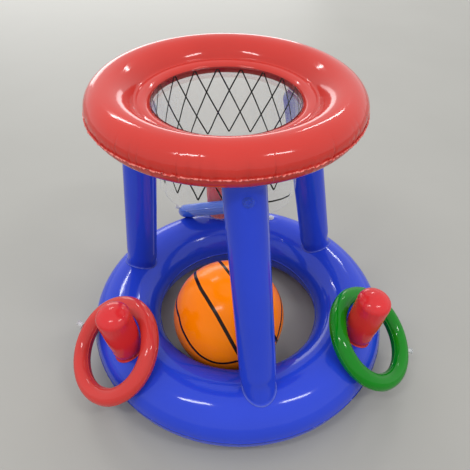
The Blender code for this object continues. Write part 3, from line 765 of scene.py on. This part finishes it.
def leg_mesh(name, azimuth):
    """A leg's skin, from its long weld on the base to the one under the hoop."""
    outward = spoke(azimuth)
    foot = base_middle + outward * (BASE_RADIUS - LEG_FOOT_INSET)
    foot.z = BASE_CENTRE_HEIGHT + BASE_TUBE.rise(foot.x, foot.y, 0)
    head = hoop_middle + outward * (HOOP_RADIUS - LEG_HEAD_INSET)
    head.z = HOOP_HEIGHT - HOOP_HALF_HEIGHT
    length = (head - foot).length
    axis = (head - foot) / length
    across = axis.cross(outward).normalized()
    out = across.cross(axis)

    turns = full_turn(LEG_SIDES)
    level = np.outer(np.cos(turns), out) + np.outer(np.sin(turns), across)

    def round_loop(height):
        radius = LEG_FOOT_RADIUS + (LEG_HEAD_RADIUS - LEG_FOOT_RADIUS) * height / length
        return np.array(foot) + np.array(axis) * height + radius * level

    foot_place = (base_middle + outward * (BASE_RADIUS - FOOT_WELD_INSET), outward)
    head_place = (hoop_middle + outward * (HOOP_RADIUS - HEAD_WELD_INSET), outward)
    foot_sizes = np.array([FOOT_WELD_LONG, FOOT_WELD_ACROSS])
    head_sizes = np.array([HEAD_WELD_LONG, HEAD_WELD_ACROSS])
    foot_loops = [BASE_TUBE.weld(*foot_place, foot_sizes + lip, 1, LEG_SIDES) for lip in (END_LIP, 0)]
    head_loops = [HOOP_TUBE.weld(*head_place, head_sizes + lip, -1, LEG_SIDES) for lip in (0, END_LIP)]
    shares = np.linspace(0, 1, END_LOOPS)
    heights = np.linspace(FOOT_TAPER, length - HEAD_TAPER, LEG_LOOPS)
    bottom = eased(foot_loops[1], round_loop(heights[0]), shares[:-1])
    top = eased(head_loops[0], round_loop(heights[-1]), shares[:-1])
    loops = [foot_loops[0], *bottom, *[round_loop(h) for h in heights], *top[::-1], head_loops[1]]
    ends = [(END_SLACK * (1 - share) ** 2, 0) for share in shares[:-1]]
    seam_side = LEG_SEAM_TURNS[name] * LEG_SIDES // 360 % LEG_SIDES
    seam = LEG_SEAM_COVER * (np.arange(LEG_SIDES) == seam_side)
    marks = [END_MARK, *ends, *[(0, seam)] * LEG_LOOPS, *ends[::-1], END_MARK]
    middle = (foot + head) / 2
    look = film(f"Blue film of the {name} leg", BLUE, LEG_WELD_GLINT, middle, creases=3.0, depth=0.0005)
    return closed_skin("leg_" + name, loops, marks, look)


for leg_name, leg_azimuth in LEG_AZIMUTHS.items():
    mesh = dimpled(leg_mesh(leg_name, leg_azimuth), "leg_" + leg_name)
    piece(f"leg_{leg_name}_skin", mesh, "hoop_frame", "blue_film", "leg_" + leg_name)

# Pegs
# Three short posts of red film for the toss rings, standing on the outer slope of the base and
# swelling above their welds. A round cap is welded on each, and the film is puckered there.

PEG_LENGTH = 0.0919
PEG_FOOT_RADIUS = 0.0220
PEG_RADIUS = 0.0272
PEG_DOME = 0.0170
PEG_SIDES = 144
PEG_WAIST_SHARE = 0.94
PEG_WAIST_HEIGHT = 0.2 * PEG_LENGTH
PEG_FOOT_LOOPS = 8
PEG_WALL_LOOPS = 22
PEG_DOME_DEG = (0.3, 4.0, *np.linspace(8, 88, 16))
PEG_EDGE = 0.0001
PEG_RED = (208, 42, 46)
# Painted highlight: the weld at each peg's foot is drawn in this paler red for the light along it.
PEG_WELD_GLINT = (236, 96, 96)
PEG_PUCKER = 0.0003
PEG_PUCKER_SWELL = 1.4
PEG_WAVES = (7, 11, 19, 26)
PEG_SEED = 20
PEG_SEAM_GAP = 0.0001
PEG_SLACK = 0.4
PEG_SLACK_SHARE = 0.22
DOME_SLACK_DEG = 30
PEG_GLOSS = {"creases": 4.0, "depth": 0.0004, "roughness": 0.14}


def peg_meshes(name, seed):
    """A peg's wall and its cap, puckered along the weld between them."""
    place = joint_frame(f"toss_ring_{name}_lift")
    foot = place.translation
    axis = place.to_3x3() @ Z_AXIS
    outward = Vector((axis.x, axis.y, 0)).normalized()
    across = Z_AXIS.cross(outward)
    upright = across.cross(axis)
    turns = full_turn(PEG_SIDES)
    puckers = np.abs(wave(turns, seed, PEG_WAVES))
    radial = np.outer(np.cos(turns), upright) + np.outer(np.sin(turns), across)

    def ring_loop(radius, height, pucker):
        spread = radius - PEG_PUCKER * pucker * (1 - PEG_PUCKER_SWELL * puckers)
        return np.array(foot) + np.array(axis) * height + radial * np.asarray(spread)[:, None]

    seam = PEG_LENGTH - PEG_SEAM_GAP
    lip = BASE_TUBE.weld(foot, outward, (PEG_FOOT_RADIUS + END_LIP,) * 2, 1, PEG_SIDES)
    weld = BASE_TUBE.weld(foot, outward, (PEG_FOOT_RADIUS,) * 2, 1, PEG_SIDES)
    low = ring_loop(PEG_WAIST_SHARE * PEG_RADIUS, PEG_WAIST_HEIGHT, 0)
    shares = np.linspace(0, 1, PEG_FOOT_LOOPS)
    loops = [lip, *eased(weld, low, shares[:-1]), low]
    marks = [(PEG_SLACK, 1), *[(0.5 * (1 - share), 0) for share in shares]]
    for share in np.linspace(0, 1, PEG_WALL_LOOPS)[1:]:
        height = PEG_WAIST_HEIGHT + share * (seam - PEG_EDGE - PEG_WAIST_HEIGHT)
        swell = (1 - PEG_WAIST_SHARE) * math.sin(min(1, 2 * share) * math.pi / 2)
        radius = PEG_RADIUS * (PEG_WAIST_SHARE + swell)
        slack = math.exp(-(((1 - share) / PEG_SLACK_SHARE) ** 2))
        loops.append(ring_loop(radius, height, slack))
        marks.append((PEG_SLACK * slack, 0))
    loops.append(ring_loop(PEG_RADIUS, seam, 1))
    marks.append((PEG_SLACK, 0))
    look = film(f"Red film of the {name} peg", PEG_RED, PEG_WELD_GLINT, foot, **PEG_GLOSS)
    wall = closed_skin(f"peg_{name}_post", loops, marks, look)

    base = PEG_LENGTH + PEG_SEAM_GAP
    loops = [ring_loop(PEG_RADIUS, base, 1)]
    marks = [(PEG_SLACK, 0)]
    for angle in PEG_DOME_DEG:
        turn = math.radians(angle)
        slack = math.exp(-((angle / DOME_SLACK_DEG) ** 2))
        loops.append(ring_loop(PEG_RADIUS * math.cos(turn), base + PEG_DOME * math.sin(turn), slack))
        marks.append((PEG_SLACK * slack, 0))
    cap = closed_skin(f"peg_{name}_dome", loops, marks, look)
    return wall, cap


for seed, peg_name in enumerate(("left", "right", "rear")):
    wall, cap = peg_meshes(peg_name, PEG_SEED + seed)
    piece(f"peg_{peg_name}_post", wall, "hoop_frame", "red_film", f"peg_{peg_name}_wall")
    piece(f"peg_{peg_name}_dome", cap, "hoop_frame", "red_film", f"peg_{peg_name}_cap")

# Toss rings
# Three loose rings, one red, one green and one blue, each of two sheets welded edge to edge.
# They lie on the base with their pegs inside them and are thrown over the pegs in play.

RING_RADIUS = 0.0764
RING_TUBE = 0.0144
RING_AZIMUTHS = {"left": -155.2, "right": -34.1, "rear": 91.5}
RING_TILTS = {"left": 39.3, "right": 37.7, "rear": 38.5}
RING_COLOURS = {"left": (198, 55, 51), "right": (0, 122, 14), "rear": (52, 98, 206)}
RING_GLOSS = {"creases": 5.0, "depth": 0.0004, "roughness": 0.09, "gleam": 0.24}
RING_PUCKERS = {"steps": 220, "puckers": 15.0, "depth": 0.0003}
RING_SLOTS = {"left": "red_film", "right": "green_film", "rear": "blue_film"}
RING_WELDS = {0: (0.8, 24.0), 180: (0.5, 24.0)}
RING_SECTION_STEPS = 36
RING_LIP = 0.0003

ring_sizes = (RING_RADIUS, RING_TUBE, RING_TUBE)
ring_section = tube_section(*ring_sizes, RING_WELDS, RING_SECTION_STEPS, RING_LIP)
for seed, (ring_name, azimuth) in enumerate(RING_AZIMUTHS.items()):
    nodes = [f"ring_{ring_name}_upper_sheet", f"ring_{ring_name}_lower_sheet"]
    middle = box_middle(*nodes)
    turn = Matrix.Rotation(math.radians(azimuth), 4, "Z")
    turn = turn @ Matrix.Rotation(math.radians(RING_TILTS[ring_name]), 4, "Y")
    shade = RING_COLOURS[ring_name]
    look = film(f"Film of the {ring_name} toss ring", shade, shade, middle, **RING_GLOSS)
    place = Matrix.Translation(middle) @ turn
    body = "toss_ring_" + ring_name
    mesh = inflated_ring(body, ring_section, place, look, **RING_PUCKERS, seed=seed)
    piece(body, mesh, body, RING_SLOTS[ring_name], *nodes)

# Ball
# One moulded skin of soft orange PVC with the lines of a basketball printed on it. It is
# pumped up through a valve sunk in its skin, and lies on the floor inside the base.

BALL_RADIUS = 0.0995
BALL_STEPS = 256
BALL_ROWS = 128
ORANGE = (255, 136, 2)
ORANGE_DEEP = (250, 122, 0)
BALL_INK = (30, 16, 12)
LINE_STEPS = 2400
LINE_ROUNDING = 61
POINTS_AT_ONCE = 4096
# Each kind of line by its half width and by directions from the ball's middle that it passes.
BALL_LINES = {
    "thick": (0.0031, [(-0.535, 0.558, 0.634), (-0.547, 0.312, 0.777), (-0.490, -0.063, 0.869),
                       (-0.412, -0.283, 0.866), (-0.289, -0.557, 0.779), (-0.158, -0.794, 0.588),
                       (-0.001, -0.968, 0.250)]),
    "short": (0.0028, [(-0.075, 0.540, 0.838), (-0.039, 0.319, 0.947), (0.002, 0.165, 0.986)]),
    "thin": (0.0030, [(-0.894, 0.253, 0.369), (-0.894, -0.213, 0.395), (-0.808, -0.544, 0.228),
                      (-0.587, -0.809, 0.013), (-0.414, -0.909, -0.047), (-0.268, -0.962, -0.049),
                      (-0.002, -1.000, 0.023), (0.732, -0.681, 0.011), (0.807, -0.566, 0.171),
                      (0.866, -0.416, 0.277), (0.902, -0.268, 0.337), (0.922, -0.113, 0.369),
                      (0.918, 0.050, 0.390), (0.880, 0.210, 0.425)]),
}


def closed_line(points):
    """Many points along a smooth closed line on the unit ball through some directions."""
    points = np.array(points)
    points /= np.linalg.norm(points, axis=1)[:, None]
    normal = np.linalg.svd(points - points.mean(0))[2][2]
    away = points @ normal
    side = points[0] - normal * (points[0] @ normal)
    side /= np.linalg.norm(side)
    up = np.cross(normal, side)
    turns = np.unwrap(np.arctan2(points @ up, points @ side))
    order = np.argsort(turns)
    turns, away = turns[order], away[order]
    many = np.linspace(turns[0], turns[0] + 2 * math.pi, LINE_STEPS)
    height = np.interp(many, np.append(turns, turns[0] + 2 * math.pi), np.append(away, away[0]))
    kernel = np.hanning(LINE_ROUNDING)
    height = np.convolve(np.tile(height, 3), kernel / kernel.sum(), "same")
    height = height[LINE_STEPS:2 * LINE_STEPS]
    level = np.sqrt(1 - height**2)
    line = level[:, None] * (np.outer(np.cos(many), side) + np.outer(np.sin(many), up))
    return line + np.outer(height, normal)


def signed_apart(directions, points):
    """How far directions on the unit ball lie from a closed line, with a sign for its side."""
    line = closed_line(points)
    nearest = np.zeros(len(directions), int)
    for start in range(0, len(directions), POINTS_AT_ONCE):
        some = slice(start, start + POINTS_AT_ONCE)
        nearest[some] = np.argmax(directions[some] @ line.T, 1)
    close = line[nearest]
    apart = np.linalg.norm(directions - close, axis=1)
    along = np.roll(line, -1, 0)[nearest] - np.roll(line, 1, 0)[nearest]
    side = np.einsum("ij,ij->i", np.cross(close, along), directions - close)
    return apart * np.sign(side)


def ball_finish():
    """Shiny orange vinyl of slightly uneven colour, with near-black printed lines."""
    material, graph, shader = new_finish("Orange ball skin", 0.14, Specular_IOR_Level=0.14)
    place = graph.place(ball_middle)
    cloud = graph.noise(place, 12.0, 3.0)
    lines = []
    for label, (half_width, _) in BALL_LINES.items():
        lines.append(abs(graph.mark("line_" + label)).under(half_width, PRINT_EDGE))
    ink = graph.most(*lines)
    shade = graph.mixed(cloud, colour(*ORANGE_DEEP), colour(*ORANGE))
    graph.put(shader["Base Color"], graph.mixed(ink, shade, colour(*BALL_INK)))
    graph.put(shader["Roughness"], 0.12 + cloud * 0.08 + ink * 0.05)
    swell = graph.noise(place, 40.0, 1.0)
    graph.put(shader["Normal"], graph.bump(swell * 0.0002 + ink * 0.00004))
    return material


ball_middle = box_middle("ball_skin")
ball_middle.z = BALL_RADIUS
ball_loops = []
turns = full_turn(BALL_STEPS)
for tilt in np.linspace(0, math.pi, BALL_ROWS + 1)[1:-1]:
    level = math.sin(tilt)
    ring = np.stack([level * np.cos(turns), level * np.sin(turns), math.cos(tilt) + 0 * turns], 1)
    ball_loops.append(np.array(ball_middle) + BALL_RADIUS * ring)
poles = [np.array(ball_middle) + BALL_RADIUS * np.array([0, 0, up]) for up in (1, -1)]
top, bottom = (np.repeat(pole[None], BALL_STEPS, 0) for pole in poles)
ball_loops = [top, *ball_loops, bottom]
ball_mesh = cleaned(grid_mesh("ball", np.array(ball_loops), ball_finish()))
dimpled(ball_mesh, "ball")
directions = np.array([(vertex.co - ball_middle).normalized() for vertex in ball_mesh.vertices])
for label, (_, points) in BALL_LINES.items():
    marked(ball_mesh, "line_" + label, signed_apart(directions, points) * BALL_RADIUS)
piece("ball", ball_mesh, "ball", "orange_skin", "ball_skin")

# Valves
# Nine valves of see-through vinyl, blue on the legs and clear elsewhere, each a flange and a
# short stem with a plug that is pushed in by hand. They are pressed into the film, and only
# on the toss rings do they stand out from it.

FLANGE_RADIUS = 0.0075
RING_FLANGE_RADIUS = 0.0055
FLANGE = 0.0008
STEM_RADIUS = 0.0042
STEM = 0.0120
RING_STEM = 0.0100
BORE_RADIUS = 0.0029
PLUG_HEAD_RADIUS = 0.0050
PLUG_HEAD = 0.0014
PLUG_SHANK = 0.0080
PLUG_PLAY = 0.0003
SEAT_GAP = 0.0003
VALVE_STEPS = 48
STEM_ROUNDING = 0.0003
PLUG_ROUNDING = 0.0004
ROUNDING_STEPS = 5
ROUNDING_SHARE = 0.45
VINYL_GRAIN = 300.0
VINYL_DEEP = 0.87
BLUE_VINYL = (62, 92, 220)


def vinyl(name, look, cover):
    """Vinyl that is half see-through, so that what is under it shows."""
    material, graph, shader = new_finish(name, 0.15)
    place = graph.node("ShaderNodeTexCoord", output="Object")
    cloud = graph.noise(place, VINYL_GRAIN, 2.0)
    deep = colour(*[VINYL_DEEP * part for part in look])
    graph.put(shader["Base Color"], graph.mixed(cloud, deep, colour(*look)))
    graph.put(shader["Alpha"], cover + cloud * 0.25)
    graph.put(shader["Roughness"], 0.1 + cloud * 0.1)
    graph.put(shader["Normal"], graph.bump(cloud * 0.0002))
    return material


def lathe(name, profile, place, look, closed):
    """A profile of radius and height turned about the Z of a frame."""
    turns = full_turn(VALVE_STEPS)
    profile = profile + profile[:1] if closed else profile
    rows = [np.stack([r * np.cos(turns), r * np.sin(turns), z + 0 * turns], 1) for r, z in profile]
    mesh = cleaned(grid_mesh(name, np.array(rows), look))
    mesh.transform(place)
    return mesh


def softened(profile, amount, closed):
    """Rounds the corners of a profile off."""
    made = []
    count = len(profile)
    for i, point in enumerate(profile):
        before, after = profile[i - 1], profile[(i + 1) % count]
        if not closed and i in (0, count - 1):
            made.append(point)
            continue
        point, before, after = (np.array(p) for p in (point, before, after))
        ways = (before - point, after - point)
        reaches = [min(ROUNDING_SHARE, amount / np.linalg.norm(way)) for way in ways]
        start, end = (point + way * reach for way, reach in zip(ways, reaches))
        for share in np.linspace(0, 1, ROUNDING_STEPS):
            first = start + (point - start) * share
            second = point + (end - point) * share
            made.append(tuple(first + (second - first) * share))
    return made


clear_vinyl = vinyl("Clear vinyl", CLEAR, 0.4)
blue_vinyl = vinyl("Blue vinyl", BLUE_VINYL, 0.25)
valve_bodies = {"base": "hoop_frame", "hoop": "hoop_frame", "ball": "ball"}
for leg_name in LEG_AZIMUTHS:
    valve_bodies["leg_" + leg_name] = "hoop_frame"
for ring_name in RING_AZIMUTHS:
    valve_bodies["ring_" + ring_name] = "toss_ring_" + ring_name
for name, body in valve_bodies.items():
    place = valve_frame(name)
    standing = name.startswith("ring")
    valve_look = blue_vinyl if name.startswith("leg") else clear_vinyl
    low = SEAT_GAP
    high = SEAT_GAP + FLANGE
    if standing:
        mouth = RING_STEM
        stem = [(BORE_RADIUS, mouth), (STEM_RADIUS, mouth), (STEM_RADIUS, high)]
        stem += [(RING_FLANGE_RADIUS, high), (RING_FLANGE_RADIUS, low), (BORE_RADIUS, low)]
    else:
        mouth = high
        stem = [(BORE_RADIUS, mouth), (FLANGE_RADIUS, mouth), (FLANGE_RADIUS, low)]
        stem += [(STEM_RADIUS, low), (STEM_RADIUS, -STEM), (BORE_RADIUS, -STEM)]
    stem = softened(stem, STEM_ROUNDING, True)
    mesh = lathe(f"valve_{name}", stem, place, valve_look, True)
    piece(f"valve_{name}", mesh, body, "valve", f"valve_{name}_stem")
    under = mouth + PLUG_PLAY
    shank = BORE_RADIUS - PLUG_PLAY
    top = under + PLUG_HEAD
    tip = under - PLUG_SHANK
    plug = [(0, top), (PLUG_HEAD_RADIUS, top), (PLUG_HEAD_RADIUS, under)]
    plug += [(shank, under), (shank, tip), (0, tip)]
    plug = softened(plug, PLUG_ROUNDING, False)
    mesh = lathe(f"plug_{name}", plug, place, valve_look, False)
    piece(f"plug_{name}", mesh, f"valve_{name}_plug_body", "valve", f"valve_{name}_plug")

# Room
# A plain pale floor under four soft ceiling lamps, with a wide lamp behind the toy in place of
# a bright wall. The camera stands at the photograph's height and angle.

LENS = 36.456
SENSOR = 36
VIEW_FROM = Vector((-0.1038, -0.5951, 0.7854))
VIEW_RIGHT = Vector((0.9886, -0.1503, 0.0102))
VIEW_DOWN = Vector((-0.0927, -0.6604, -0.7452))
LAMPS = ((-1.18, -1.05), (1.25, -1.3), (-1.1, 2.6), (1.55, 2.75))
LAMP_HEIGHT = 2.6
LAMP_SIZE = (0.85, 0.19)
LAMP_POWER = 16
WALL_PLACE = (-0.2, 3.6, 0.7)
WALL_AIM = (0, 0, 0.3)
WALL_SIZE = (3.0, 1.0)
WALL_POWER = 22
WORLD_STRENGTH = 1.0
FLOOR_HALF = 6
FLOOR_DEEP = (154, 153, 148)
FLOOR_PALE = (164, 163, 158)


def floor_finish():
    """A matt floor of slightly uneven grey."""
    material, graph, shader = new_finish("Pale floor", 0.5)
    place = graph.node("ShaderNodeTexCoord", output="Object")
    grain = graph.noise(place, 3.0, 4.0)
    graph.put(shader["Base Color"], graph.mixed(grain, colour(*FLOOR_DEEP), colour(*FLOOR_PALE)))
    graph.put(shader["Roughness"], 0.48 + grain * 0.08)
    return material


floor_mesh = bpy.data.meshes.new("floor")
floor_corners = [(FLOOR_HALF * x, FLOOR_HALF * y, 0) for x, y in ((-1, -1), (1, -1), (1, 1), (-1, 1))]
floor_mesh.from_pydata(floor_corners, [], [(0, 1, 2, 3)])
floor_mesh.materials.append(floor_finish())
floor = added("floor", floor_mesh)


def lamp(name, place, aim, size, power):
    """A rectangular lamp that shines from a place towards a point."""
    light = bpy.data.lights.new(name, "AREA")
    light.shape = "RECTANGLE"
    light.size, light.size_y = size
    light.energy = power
    made = added(name, light)
    made.location = place
    made.rotation_euler = (Vector(aim) - Vector(place)).to_track_quat("-Z", "Y").to_euler()


for number, (x, y) in enumerate(LAMPS):
    spot = (base_middle.x + x, base_middle.y + y, LAMP_HEIGHT)
    lamp(f"ceiling_lamp_{number + 1}", spot, (spot[0], spot[1], 0), LAMP_SIZE, LAMP_POWER)
lamp("bright_wall", WALL_PLACE, WALL_AIM, WALL_SIZE, WALL_POWER)

world = bpy.data.worlds.new("Room")
world.use_nodes = True
sky = world.node_tree.nodes["Background"].inputs
sky["Color"].default_value = (1, 1, 1, 1)
sky["Strength"].default_value = WORLD_STRENGTH
bpy.context.scene.world = world

camera_data = bpy.data.cameras.new("camera")
camera_data.sensor_width = SENSOR
camera_data.lens = LENS
camera = added("camera", camera_data)
view_up = -VIEW_DOWN.normalized()
view_right = VIEW_RIGHT.normalized()
view_back = view_right.cross(view_up)
turn = Matrix((view_right, view_back.cross(view_right), view_back)).transposed().to_4x4()
camera.matrix_world = Matrix.Translation(VIEW_FROM + Vector((base_middle.x, base_middle.y, 0))) @ turn
bpy.context.scene.camera = camera
bpy.context.scene.view_settings.view_transform = "Standard"
